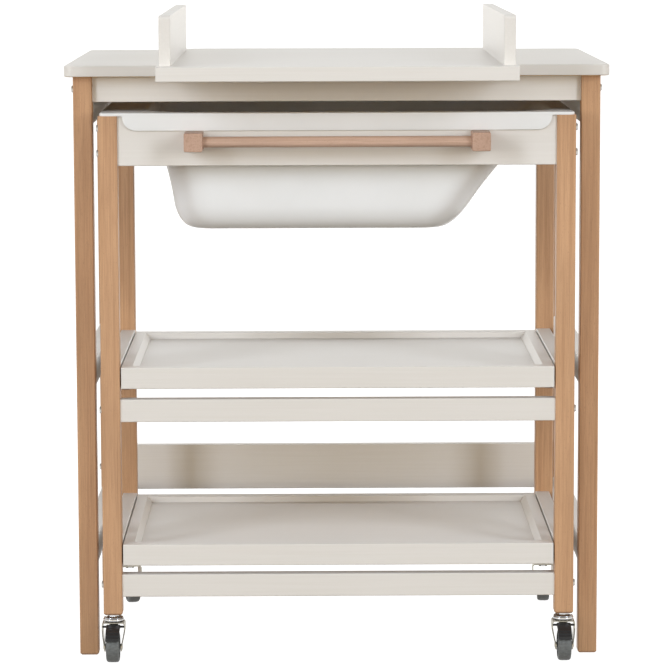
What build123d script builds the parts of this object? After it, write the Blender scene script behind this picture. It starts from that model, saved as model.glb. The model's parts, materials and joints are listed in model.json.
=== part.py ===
from build123d import *
from math import cos, radians, sin
import os

# A changing table of beech and painted board, with a bath trolley parked between its legs.
# Millimetres. +Z is up, the handle and the tray's front face -Y, and the origin is on the
# floor under the middle of the whole outline.

# Changing table: board, legs and frame
table_width = 855
table_depth = 615
table_height = 943
board_thickness = 18
board_corner_radius = 14
board_edge_radius = 2.5
board_overhang_side = 13.5
board_overhang_end = 15
table_leg_size = 30
leg_edge_radius = 2
foot_chamfer = 3
apron_thickness = 18
front_apron_height = 40
front_apron_setback = 9
side_apron_height = 75
back_apron_height = 75
side_rail_thickness = 24
side_rail_height = 42
table_upper_rail_top = 476
table_lower_rail_top = 190
back_stretcher_thickness = 18
back_stretcher_height = 79
back_stretcher_bottom = 170
plank_edge_radius = 1.5

# Changing tray that lies on the board and reaches out past its front edge
tray_width = 553
tray_depth = 710
tray_overhang = 150
tray_base_thickness = 4
tray_front_drop = 18.5
tray_front_thickness = 18
tray_side_thickness = 18
tray_side_inset = 4
tray_side_height = 77
tray_side_depth = 630
tray_side_setback = 30
tray_side_corner_radius = 6
tray_stop_clearance = 0.3

# Bath trolley: frame that stands between the table's legs
trolley_leg_size = 30
trolley_side_clearance = 11
trolley_stand_out = 40
trolley_depth = 484
tub_apron_clearance = 15
trolley_rail_height = 78
trolley_rail_thickness = 20
upper_shelf_top = 470
lower_shelf_top = 187
shelf_height = 34
shelf_side_clearance = 2
shelf_depth = 454
shelf_front_inset = 1
shelf_rail_rise = 2.5
shelf_border_width = 25
shelf_bevel = 8
shelf_floor_depth = 10
shelf_floor_thickness = 5
shelf_groove_depth = 7
runner_height = 10
runner_width = 12
runner_setback = 60
stretcher_thickness = 24
stretcher_height = 36
upper_stretcher_gap = 17
lower_stretcher_gap = 14.5
stretcher_recess = 3

# Bathtub that hangs on the trolley by its flange
tub_end_inset = 2
flange_thickness = 4.5
flange_corner_radius = 12
flange_edge_radius = 1.5
tub_wall = 3
skirt_drop = 23
skirt_thickness = 3
skirt_clearance = 1
skirt_end_clearance = 8
skirt_corner_radius = 22
tub_left_clearance = 43
tub_right_clearance = 6
tub_left_run = 44
tub_right_run = 144
tub_rail_clearance = 5.5
tub_end_slope = 26
tub_depth = 184
tub_top_corner_radius = 70
tub_floor_corner_radius = 62
tub_floor_edge_radius = 40
tub_mouth_radius = 3
plug_from_left_wall = 66
plug_head_radius = 21
plug_head_height = 3
plug_body_radius = 15
plug_knob_radius = 6
plug_knob_height = 9
plug_knob_round = 2

# Handle of two blocks and a round bar
handle_block_size = 29
handle_block_length = 52
handle_block_round = 2.5
handle_block_spacing = 446
handle_block_drop = 1
handle_bar_radius = 8.5
handle_bar_setback = 16
handle_bar_seat = 13

# Swivel casters
caster_height = 73
caster_trail = 24
wheel_radius = 25
wheel_width = 21
wheel_shoulder_radius = 5
wheel_hub_radius = 9
wheel_rim_radius = 19
wheel_dish_depth = 2.5
axle_radius = 4
axle_head_radius = 5.5
axle_head_height = 1.2
running_clearance = 0.06
fork_side_clearance = 1.7
fork_sheet = 1.8
fork_crown_thickness = 2.5
fork_crown_length = 28
fork_shoulder_width = 37
fork_shoulder_height = 12
fork_shoulder_round = 5
fork_boss_radius = 8
stem_radius = 4
stem_length = 38
stem_nut_radius = 9
stem_nut_height = 3
head_radius = 16.5
head_height = 8.5
head_bevel = 3
race_clearance = 0.3
kingpin_radius = 5
rivet_radius = 7.5
rivet_height = 2.5
pedal_width = 22
pedal_thickness = 5
pedal_gap = 1
pedal_hub_radius = 3.5
pedal_hub_drop = 4.2
pedal_hub_forward = 13
pedal_pin_radius = 1.8
pedal_pin_grip = 1.2
pedal_edge_round = 1
pedal_start_angle = 96
pedal_end_angle = 152

# Turn of each caster about its stem, in degrees
caster_turns = {"front_left": 0, "front_right": 0, "rear_left": 14, "rear_right": -3}

# Bolts and barrel nuts that hold the cross boards between the legs
bolt_radius = 3
bolt_head_radius = 5.5
bolt_head_height = 3.5
bolt_head_bevel = 1.2
bolt_key_radius = 2.3
bolt_key_depth = 2
bolt_grip = 26
bolt_tip = 8
nut_radius = 5
nut_length = 14
hole_clearance = 0.25
seat_clearance = 0.1

# Overrun of every cutting shape past the face it opens
cut_overrun = 5

os.makedirs("parts", exist_ok=True)

FROM_BELOW = (Align.CENTER, Align.CENTER, Align.MIN)
FROM_ABOVE = (Align.CENTER, Align.CENTER, Align.MAX)

# Places that follow from the sizes
tray_front_y = -(table_depth + tray_overhang) / 2
board_front_y = tray_front_y + tray_overhang
board_back_y = board_front_y + table_depth
board_middle_y = (board_front_y + board_back_y) / 2
table_leg_top = table_height - board_thickness
table_leg_x = table_width / 2 - board_overhang_side - table_leg_size / 2
table_leg_inner = table_leg_x - table_leg_size / 2
table_leg_front_y = board_front_y + board_overhang_end + table_leg_size / 2
table_leg_back_y = board_back_y - board_overhang_end - table_leg_size / 2
table_side_span = table_leg_back_y - table_leg_front_y - table_leg_size
table_side_y = (table_leg_front_y + table_leg_back_y) / 2

trolley_top = table_leg_top - front_apron_height - tub_apron_clearance - flange_thickness
trolley_outer = table_leg_inner - trolley_side_clearance
trolley_leg_x = trolley_outer - trolley_leg_size / 2
trolley_leg_inner = trolley_outer - trolley_leg_size
trolley_front_y = table_leg_front_y - table_leg_size / 2 - trolley_stand_out
trolley_back_y = trolley_front_y + trolley_depth
trolley_middle_y = (trolley_front_y + trolley_back_y) / 2
trolley_leg_front_y = trolley_front_y + trolley_leg_size / 2
trolley_leg_back_y = trolley_back_y - trolley_leg_size / 2
trolley_side_span = trolley_depth - 2 * trolley_leg_size
shelf_middle_y = trolley_front_y + shelf_front_inset + shelf_depth / 2
rail_recess = skirt_thickness + skirt_clearance
rail_front_y = trolley_front_y + rail_recess
rail_centre_offset = rail_recess + trolley_rail_thickness / 2

SIDES = {"left": -1, "right": 1}
TABLE_ENDS = {"front": table_leg_front_y, "back": table_leg_back_y}
TROLLEY_ENDS = {"front": trolley_leg_front_y, "back": trolley_leg_back_y}


def save(piece, name):
    """Label a finished piece and write it to a STEP file of its own."""
    piece.part.label = name
    export_step(piece.part, f"parts/{name}.step")


def plank(piece, x, y, bottom, size_x, size_y, size_z, grain, edge_radius):
    """A planed board standing on the height bottom, with the four edges along its grain eased."""
    with Locations((x, y, bottom)):
        Box(size_x, size_y, size_z, align=FROM_BELOW)
    fillet(piece.edges().filter_by(grain), edge_radius)


def post(piece, x, y, bottom, size, height):
    """A square leg: its foot is chamfered and its four long edges are eased."""
    with Locations((x, y, bottom)):
        Box(size, size, height, align=FROM_BELOW)
    chamfer(piece.faces().sort_by(Axis.Z)[0].edges(), foot_chamfer)
    fillet(piece.edges().filter_by(Axis.Z), leg_edge_radius)


def bolt_heights(bottom, height, count):
    """Heights of the bolts in a board's end, spread evenly over its height."""
    return [bottom + height * (2 * i + 1) / (2 * count) for i in range(count)]


def drill_along_x(x, side, y, z, radius, depth):
    """A round hole from the face at x, running inwards, away from the given side."""
    with Locations(Plane(origin=(x + side * cut_overrun, y, z), z_dir=(-side, 0, 0))):
        Cylinder(radius, depth + cut_overrun, align=FROM_BELOW, mode=Mode.SUBTRACT)


def bolt(plane, length):
    """A bolt whose head lies on the plane: a domed head with a key socket, and a shank below."""
    with Locations(plane):
        Cylinder(bolt_head_radius, bolt_head_height - bolt_head_bevel, align=FROM_BELOW)
        Cylinder(bolt_radius, length, align=FROM_ABOVE)
    with Locations(plane.offset(bolt_head_height - bolt_head_bevel)):
        Cone(bolt_head_radius, bolt_head_radius - bolt_head_bevel, bolt_head_bevel, align=FROM_BELOW)
    with BuildSketch(plane.offset(bolt_head_height)) as key:
        RegularPolygon(bolt_key_radius, 6)
    extrude(key.sketch, amount=-bolt_key_depth, mode=Mode.SUBTRACT)


def nut(x, y, z):
    """A barrel nut that lies across its board, with the cross hole that the bolt runs through."""
    with Locations(Location((x, y, z), (90, 0, 0))):
        Cylinder(nut_radius, nut_length)
    with Locations(Location((x, y, z), (0, 90, 0))):
        Cylinder(bolt_radius + seat_clearance, 2 * nut_radius + cut_overrun, mode=Mode.SUBTRACT)


def cross_board(piece, board, leg_inner):
    """A board between two legs, with a bolt hole in each end and a blind pocket for each nut."""
    y, bottom, height, thickness, count, inward = board
    plank(piece, 0, y, bottom, 2 * leg_inner, thickness, height, Axis.X, plank_edge_radius)
    for side in SIDES.values():
        for z in bolt_heights(bottom, height, count):
            drill_along_x(side * leg_inner, side, y, z, bolt_radius + hole_clearance, bolt_grip + bolt_tip)
            pocket_depth = (nut_length + thickness) / 2 + seat_clearance + cut_overrun
            mouth = y + inward * (thickness / 2 + cut_overrun)
            nut_x = side * (leg_inner - bolt_grip + nut_radius)
            with Locations(Plane(origin=(nut_x, mouth, z), z_dir=(0, -inward, 0))):
                Cylinder(nut_radius + seat_clearance, pocket_depth, align=FROM_BELOW, mode=Mode.SUBTRACT)


def fittings(boards, leg_inner, leg_size):
    """The barrel nuts in the ends of the boards, and the bolts through the legs that they hold."""
    places = [
        (side, y, z)
        for y, bottom, height, thickness, count, inward in boards
        for side in SIDES.values()
        for z in bolt_heights(bottom, height, count)
    ]
    for side, y, z in places:
        nut(side * (leg_inner - bolt_grip + nut_radius), y, z)
    for side, y, z in places:
        face = Plane(origin=(side * (leg_inner + leg_size), y, z), z_dir=(side, 0, 0))
        bolt(face, leg_size + bolt_grip + bolt_tip - seat_clearance)


# Table cross boards: centre depth, bottom, height, thickness, bolts in each end, side facing inwards
front_apron_y = table_leg_front_y - table_leg_size / 2 + front_apron_setback + apron_thickness / 2
back_apron_y = table_leg_back_y + table_leg_size / 2 - front_apron_setback - apron_thickness / 2
table_boards = {
    "front_apron": (
        front_apron_y, table_leg_top - front_apron_height, front_apron_height, apron_thickness, 1, 1),
    "back_apron": (
        back_apron_y, table_leg_top - back_apron_height, back_apron_height, apron_thickness, 2, -1),
    "back_stretcher": (
        table_leg_back_y, back_stretcher_bottom, back_stretcher_height, back_stretcher_thickness, 1, -1),
}

# Table top: one board with rounded corners and eased edges
with BuildPart() as top_board:
    with Locations((0, board_middle_y, table_leg_top)):
        Box(table_width, table_depth, board_thickness, align=FROM_BELOW)
    fillet(top_board.edges().filter_by(Axis.Z), board_corner_radius)
    fillet(top_board.faces().filter_by(Axis.Z).edges(), board_edge_radius)
save(top_board, "top_board")

# Table legs, drilled for the bolts of the boards that they carry
for end, leg_y in TABLE_ENDS.items():
    for side_name, side in SIDES.items():
        with BuildPart() as table_leg:
            post(table_leg, side * table_leg_x, leg_y, 0, table_leg_size, table_leg_top)
            for y, bottom, height, thickness, count, inward in table_boards.values():
                if abs(y - leg_y) < table_leg_size / 2:
                    for z in bolt_heights(bottom, height, count):
                        outer = side * (table_leg_inner + table_leg_size)
                        drill_along_x(
                            outer, side, y, z, bolt_radius + hole_clearance, table_leg_size + cut_overrun)
        save(table_leg, f"table_leg_{end}_{side_name}")

# Table aprons and the stretcher low at the back
for name, board in table_boards.items():
    with BuildPart() as table_board:
        cross_board(table_board, board, table_leg_inner)
    save(table_board, name)

# Side aprons and side rails, glued between the front and back legs
side_apron_x = table_leg_inner + apron_thickness / 2
table_rail_x = table_leg_inner + side_rail_thickness / 2
for side_name, side in SIDES.items():
    with BuildPart() as side_apron:
        plank(side_apron, side * side_apron_x, table_side_y, table_leg_top - side_apron_height,
              apron_thickness, table_side_span, side_apron_height, Axis.Y, plank_edge_radius)
    save(side_apron, f"side_apron_{side_name}")
    for level, top in {"upper": table_upper_rail_top, "lower": table_lower_rail_top}.items():
        with BuildPart() as side_rail:
            plank(side_rail, side * table_rail_x, table_side_y, top - side_rail_height,
                  side_rail_thickness, table_side_span, side_rail_height, Axis.Y, plank_edge_radius)
        save(side_rail, f"table_{level}_rail_{side_name}")

with BuildPart() as table_fittings:
    fittings(table_boards.values(), table_leg_inner, table_leg_size)
save(table_fittings, "table_fittings")

# Changing tray: thin base, deep front rail, two side panels and two stop rails under the overhang
tray_base_top = table_height + tray_base_thickness
with BuildPart() as tray_base:
    base_depth = tray_depth - tray_front_thickness
    with Locations((0, tray_front_y + tray_front_thickness + base_depth / 2, table_height)):
        Box(tray_width, base_depth, tray_base_thickness, align=FROM_BELOW)
    fillet(tray_base.faces().sort_by(Axis.Y)[-1].edges().filter_by(Axis.Z), plank_edge_radius)
save(tray_base, "tray_base")

with BuildPart() as tray_front_rail:
    plank(tray_front_rail, 0, tray_front_y + tray_front_thickness / 2, table_height - tray_front_drop,
          tray_width, tray_front_thickness, tray_front_drop + tray_base_thickness, Axis.X,
          plank_edge_radius)
save(tray_front_rail, "tray_front_rail")

tray_side_x = tray_width / 2 - tray_side_inset - tray_side_thickness / 2
tray_side_y = tray_front_y + tray_side_setback + tray_side_depth / 2
stop_length = tray_overhang - tray_front_thickness - tray_stop_clearance
for side_name, side in SIDES.items():
    with BuildPart() as tray_side:
        with Locations((side * tray_side_x, tray_side_y, tray_base_top)):
            Box(tray_side_thickness, tray_side_depth, tray_side_height, align=FROM_BELOW)
        top_face = tray_side.faces().sort_by(Axis.Z)[-1]
        fillet(top_face.edges().filter_by(Axis.X), tray_side_corner_radius)
        fillet(tray_side.edges().filter_by(Axis.Y).group_by(Axis.Z)[-1], plank_edge_radius)
    save(tray_side, f"tray_side_{side_name}")
    with BuildPart() as tray_stop:
        plank(tray_stop, side * tray_side_x, tray_front_y + tray_front_thickness + stop_length / 2,
              table_height - tray_front_drop, tray_side_thickness, stop_length, tray_front_drop,
              Axis.Y, plank_edge_radius)
    save(tray_stop, f"tray_stop_{side_name}")

# Trolley cross boards, as the table's
stretcher_offset = stretcher_recess + stretcher_thickness / 2
upper_stretcher_bottom = upper_shelf_top - shelf_height - upper_stretcher_gap - stretcher_height
lower_stretcher_bottom = lower_shelf_top - shelf_height - lower_stretcher_gap - stretcher_height
trolley_boards = {}
for end, edge_y, inward in (("front", trolley_front_y, 1), ("back", trolley_back_y, -1)):
    trolley_boards[f"trolley_{end}_rail"] = (
        edge_y + inward * rail_centre_offset, trolley_top - trolley_rail_height, trolley_rail_height,
        trolley_rail_thickness, 2, inward)
    for level, bottom in (("upper", upper_stretcher_bottom), ("lower", lower_stretcher_bottom)):
        trolley_boards[f"{level}_stretcher_{end}"] = (
            edge_y + inward * stretcher_offset, bottom, stretcher_height, stretcher_thickness, 1, inward)

# Trolley legs, with a blind hole under each for its caster's stem
for end, leg_y in TROLLEY_ENDS.items():
    for side_name, side in SIDES.items():
        with BuildPart() as trolley_leg:
            post(trolley_leg, side * trolley_leg_x, leg_y, caster_height, trolley_leg_size,
                 trolley_top - caster_height)
            for y, bottom, height, thickness, count, inward in trolley_boards.values():
                if abs(y - leg_y) < trolley_leg_size / 2:
                    for z in bolt_heights(bottom, height, count):
                        drill_along_x(side * trolley_outer, side, y, z, bolt_radius + hole_clearance,
                                      trolley_leg_size + cut_overrun)
            with Locations((side * trolley_leg_x, leg_y, caster_height - cut_overrun)):
                Cylinder(stem_radius + seat_clearance, stem_length + seat_clearance + cut_overrun,
                         align=FROM_BELOW, mode=Mode.SUBTRACT)
        save(trolley_leg, f"trolley_leg_{end}_{side_name}")

# Handle: two blocks screwed on from behind the front rail, and the bar let into them
handle_z = trolley_top - skirt_drop - handle_block_drop - handle_block_size / 2
handle_block_x = handle_block_spacing / 2
block_front_y = rail_front_y - handle_block_length
handle_bar_y = block_front_y + handle_bar_setback
rail_back_y = rail_front_y + trolley_rail_thickness
for name, board in trolley_boards.items():
    with BuildPart() as trolley_board:
        cross_board(trolley_board, board, trolley_leg_inner)
        if name == "trolley_front_rail":
            for side in SIDES.values():
                place = Plane(origin=(side * handle_block_x, rail_back_y, handle_z), z_dir=(0, -1, 0))
                with Locations(place.offset(-cut_overrun)):
                    Cylinder(bolt_radius + hole_clearance, trolley_rail_thickness + 2 * cut_overrun,
                             align=FROM_BELOW, mode=Mode.SUBTRACT)
    save(trolley_board, name)

screw_depth = handle_block_length - handle_bar_setback - handle_bar_radius - plank_edge_radius
bar_end = handle_block_x - handle_block_size / 2 + handle_bar_seat
for side_name, side in SIDES.items():
    with BuildPart() as handle_block:
        with Locations((side * handle_block_x, (block_front_y + rail_front_y) / 2, handle_z)):
            Box(handle_block_size, handle_block_length, handle_block_size)
        fillet(handle_block.edges().filter_by(Axis.Y), handle_block_round)
        fillet(handle_block.faces().sort_by(Axis.Y)[0].edges(), plank_edge_radius)
        drill_along_x(side * (handle_block_x - handle_block_size / 2), -side, handle_bar_y, handle_z,
                      handle_bar_radius + seat_clearance, handle_bar_seat)
        with Locations(Plane(origin=(side * handle_block_x, rail_front_y + cut_overrun, handle_z),
                             z_dir=(0, -1, 0))):
            Cylinder(bolt_radius + seat_clearance, screw_depth + cut_overrun,
                     align=FROM_BELOW, mode=Mode.SUBTRACT)
    save(handle_block, f"handle_block_{side_name}")

with BuildPart(Plane(origin=(0, handle_bar_y, handle_z), z_dir=(1, 0, 0))) as handle_bar:
    Cylinder(handle_bar_radius, 2 * bar_end)
save(handle_bar, "handle_bar")

# Top side rails over the shelves, and the rails beside each shelf
trolley_rail_x = trolley_leg_inner + trolley_rail_thickness / 2
shelf_rail_x = trolley_leg_inner + side_rail_thickness / 2
for side_name, side in SIDES.items():
    with BuildPart() as top_side_rail:
        plank(top_side_rail, side * trolley_rail_x, trolley_middle_y, trolley_top - trolley_rail_height,
              trolley_rail_thickness, trolley_side_span, trolley_rail_height, Axis.Y, plank_edge_radius)
    save(top_side_rail, f"trolley_top_rail_{side_name}")
    for level, top in {"upper": upper_shelf_top, "lower": lower_shelf_top}.items():
        with BuildPart() as shelf_rail:
            plank(shelf_rail, side * shelf_rail_x, trolley_middle_y, top - side_rail_height,
                  side_rail_thickness, trolley_side_span, side_rail_height + shelf_rail_rise, Axis.Y,
                  plank_edge_radius)
        save(shelf_rail, f"{level}_shelf_rail_{side_name}")

# Runners on the shelf rails' inner faces, which carry the shelves
runner_length = shelf_depth - 2 * runner_setback
with BuildPart() as shelf_runners:
    for top in (upper_shelf_top, lower_shelf_top):
        for side in SIDES.values():
            with Locations((side * (trolley_leg_inner - runner_width / 2), shelf_middle_y,
                            top - shelf_height - runner_height)):
                Box(runner_width, runner_length, runner_height, align=FROM_BELOW)
save(shelf_runners, "shelf_runners")

# Shelves: a grooved border round a recessed floor, its side borders bevelled on the inside
shelf_half_width = trolley_leg_inner - shelf_side_clearance
shelf_inner_depth = shelf_depth - 2 * shelf_border_width
floor_width = 2 * (shelf_half_width - shelf_border_width + shelf_groove_depth)
floor_depth = shelf_inner_depth + 2 * shelf_groove_depth
for level, top in {"upper": upper_shelf_top, "lower": lower_shelf_top}.items():
    floor_top = top - shelf_floor_depth
    with BuildPart() as shelf_border:
        for edge in (-1, 1):
            border_y = shelf_middle_y + edge * (shelf_depth - shelf_border_width) / 2
            with Locations((0, border_y, top - shelf_height)):
                Box(2 * shelf_half_width, shelf_border_width, shelf_height, align=FROM_BELOW)
        fillet(shelf_border.edges().filter_by(Axis.X), plank_edge_radius)
        side_strip = [
            (shelf_half_width, top - shelf_height),
            (shelf_half_width, top),
            (shelf_half_width - shelf_border_width + shelf_bevel, top),
            (shelf_half_width - shelf_border_width, top - shelf_bevel),
            (shelf_half_width - shelf_border_width, top - shelf_height),
        ]
        for side in SIDES.values():
            with BuildSketch(Plane.XZ.offset(-shelf_middle_y)):
                with BuildLine():
                    Polyline([(side * x, z) for x, z in side_strip], close=True)
                make_face()
            extrude(amount=shelf_inner_depth / 2, both=True)
        with Locations((0, shelf_middle_y, floor_top - shelf_floor_thickness - seat_clearance)):
            Box(floor_width + 2 * seat_clearance, floor_depth + 2 * seat_clearance,
                shelf_floor_thickness + 2 * seat_clearance, align=FROM_BELOW, mode=Mode.SUBTRACT)
    save(shelf_border, f"{level}_shelf_border")
    with BuildPart() as shelf_floor:
        with Locations((0, shelf_middle_y, floor_top - shelf_floor_thickness)):
            Box(floor_width, floor_depth, shelf_floor_thickness, align=FROM_BELOW)
    save(shelf_floor, f"{level}_shelf_floor")

with BuildPart() as trolley_fittings:
    fittings(trolley_boards.values(), trolley_leg_inner, trolley_leg_size)
    for side in SIDES.values():
        face = Plane(origin=(side * handle_block_x, rail_back_y, handle_z), z_dir=(0, 1, 0))
        bolt(face, trolley_rail_thickness + screw_depth - seat_clearance)
save(trolley_fittings, "trolley_fittings")

# Bathtub: a flange on the trolley's legs and rails, a moulded body with one sloping end, and a
# skirt that covers the top of the front rail. Its mouth clears the legs at each end, and each
# end leans in by its run from the mouth to the floor.
tub_top_left = trolley_leg_inner - tub_left_clearance
tub_top_right = trolley_leg_inner - tub_right_clearance
tub_floor_left = tub_top_left - tub_left_run
tub_floor_right = tub_top_right - tub_right_run
tub_front_y = rail_back_y + tub_rail_clearance
tub_back_y = trolley_back_y - rail_recess - trolley_rail_thickness - tub_rail_clearance
tub_floor_z = trolley_top - tub_depth
flange_half_width = trolley_outer - tub_end_inset
flange_top = trolley_top + flange_thickness


def tub_outline(z, inset):
    """The body's outline at one height: its four walls slope evenly from the mouth to the floor."""
    share = (trolley_top - z) / tub_depth
    left = tub_top_left + (tub_floor_left - tub_top_left) * share - inset
    right = tub_top_right + (tub_floor_right - tub_top_right) * share - inset
    front = tub_front_y + tub_end_slope * share + inset
    back = tub_back_y - tub_end_slope * share - inset
    radius = tub_top_corner_radius + (tub_floor_corner_radius - tub_top_corner_radius) * share - inset
    with BuildSketch(Plane.XY.offset(z)) as outline:
        with Locations(((right - left) / 2, (front + back) / 2)):
            RectangleRounded(right + left, back - front, radius)
    return outline.sketch


with BuildPart() as bathtub:
    with Locations((0, trolley_middle_y, trolley_top)):
        Box(2 * flange_half_width, trolley_depth, flange_thickness, align=FROM_BELOW)
    fillet(bathtub.edges().filter_by(Axis.Z), flange_corner_radius)
    fillet(bathtub.faces().sort_by(Axis.Z)[-1].edges(), flange_edge_radius)
    loft([tub_outline(tub_floor_z, 0), tub_outline(trolley_top, 0)], ruled=True)
    fillet(bathtub.faces().sort_by(Axis.Z)[0].edges(), tub_floor_edge_radius)
    with BuildPart(mode=Mode.PRIVATE) as tub_room:
        loft([tub_outline(tub_floor_z + tub_wall, tub_wall), tub_outline(flange_top, tub_wall)], ruled=True)
        fillet(tub_room.faces().sort_by(Axis.Z)[0].edges(), tub_floor_edge_radius - tub_wall)
    add(tub_room.part, mode=Mode.SUBTRACT)
    mouth = bathtub.faces().sort_by(Axis.Z)[-1].inner_wires()[0].edges()
    fillet(mouth, tub_mouth_radius)
    skirt_half_width = trolley_leg_inner - skirt_end_clearance
    with BuildSketch(Plane.XZ.offset(-trolley_front_y)) as skirt:
        with Locations((0, trolley_top)):
            Rectangle(2 * skirt_half_width, skirt_drop, align=(Align.CENTER, Align.MAX))
        fillet(skirt.vertices().group_by(Axis.Y)[0], skirt_corner_radius)
    extrude(skirt.sketch, amount=-skirt_thickness)
    plug_x = plug_from_left_wall - tub_floor_left
    with Locations((plug_x, trolley_middle_y, tub_floor_z - cut_overrun)):
        Cylinder(plug_body_radius + seat_clearance, tub_wall + 2 * cut_overrun,
                 align=FROM_BELOW, mode=Mode.SUBTRACT)
save(bathtub, "bathtub")

# Drain plug: its body fills the hole in the floor, its head lies on the floor round the hole
with BuildPart(Plane((plug_x, trolley_middle_y, tub_floor_z + tub_wall))) as drain_plug:
    Cylinder(plug_body_radius, tub_wall, align=FROM_ABOVE)
    Cylinder(plug_head_radius, plug_head_height, align=FROM_BELOW)
    Cylinder(plug_knob_radius, plug_head_height + plug_knob_height, align=FROM_BELOW)
    fillet(drain_plug.faces().sort_by(Axis.Z)[-1].edges(), plug_knob_round)
save(drain_plug, "drain_plug")

# Casters. Each is drawn about its stem, with its wheel trailing towards the front, and is turned
# by its own angle. Heights are from the floor.
head_top = caster_height - stem_nut_height
head_bottom = head_top - head_height
crown_top = head_bottom - race_clearance
crown_bottom = crown_top - fork_crown_thickness
rivet_top = crown_bottom - race_clearance
fork_gap = wheel_width / 2 + fork_side_clearance
axle_grip = fork_gap + fork_sheet


def on(base, plane):
    """A standard plane, carried to a caster's place and turn."""
    return Plane(base.location * plane.location)


caster_bases = {}
for place, turn in caster_turns.items():
    end, side_name = place.split("_")
    leg_y = trolley_leg_front_y if end == "front" else trolley_leg_back_y
    caster_bases[place] = Plane(
        origin=(SIDES[side_name] * trolley_leg_x, leg_y, 0),
        x_dir=(cos(radians(turn)), sin(radians(turn)), 0),
        z_dir=(0, 0, 1),
    )

# Stems: pin in the leg, nut, turned head and the kingpin on which the fork swivels
stem_top = caster_height + stem_length
stem_outline = [
    (0, rivet_top - rivet_height),
    (rivet_radius, rivet_top - rivet_height),
    (rivet_radius, rivet_top),
    (kingpin_radius, rivet_top),
    (kingpin_radius, head_bottom),
    (head_radius - head_bevel, head_bottom),
    (head_radius, head_bottom + head_bevel),
    (head_radius, head_top - head_bevel),
    (stem_nut_radius, head_top),
    (stem_nut_radius, caster_height),
    (stem_radius, caster_height),
    (stem_radius, stem_top),
    (0, stem_top),
]
with BuildPart() as caster_stems:
    for base in caster_bases.values():
        with BuildSketch(on(base, Plane.XZ)) as stem_section:
            with BuildLine():
                Polyline(stem_outline, close=True)
            make_face()
        revolve(stem_section.sketch, axis=Axis(base.origin, (0, 0, 1)))
save(caster_stems, "caster_stems")

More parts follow.
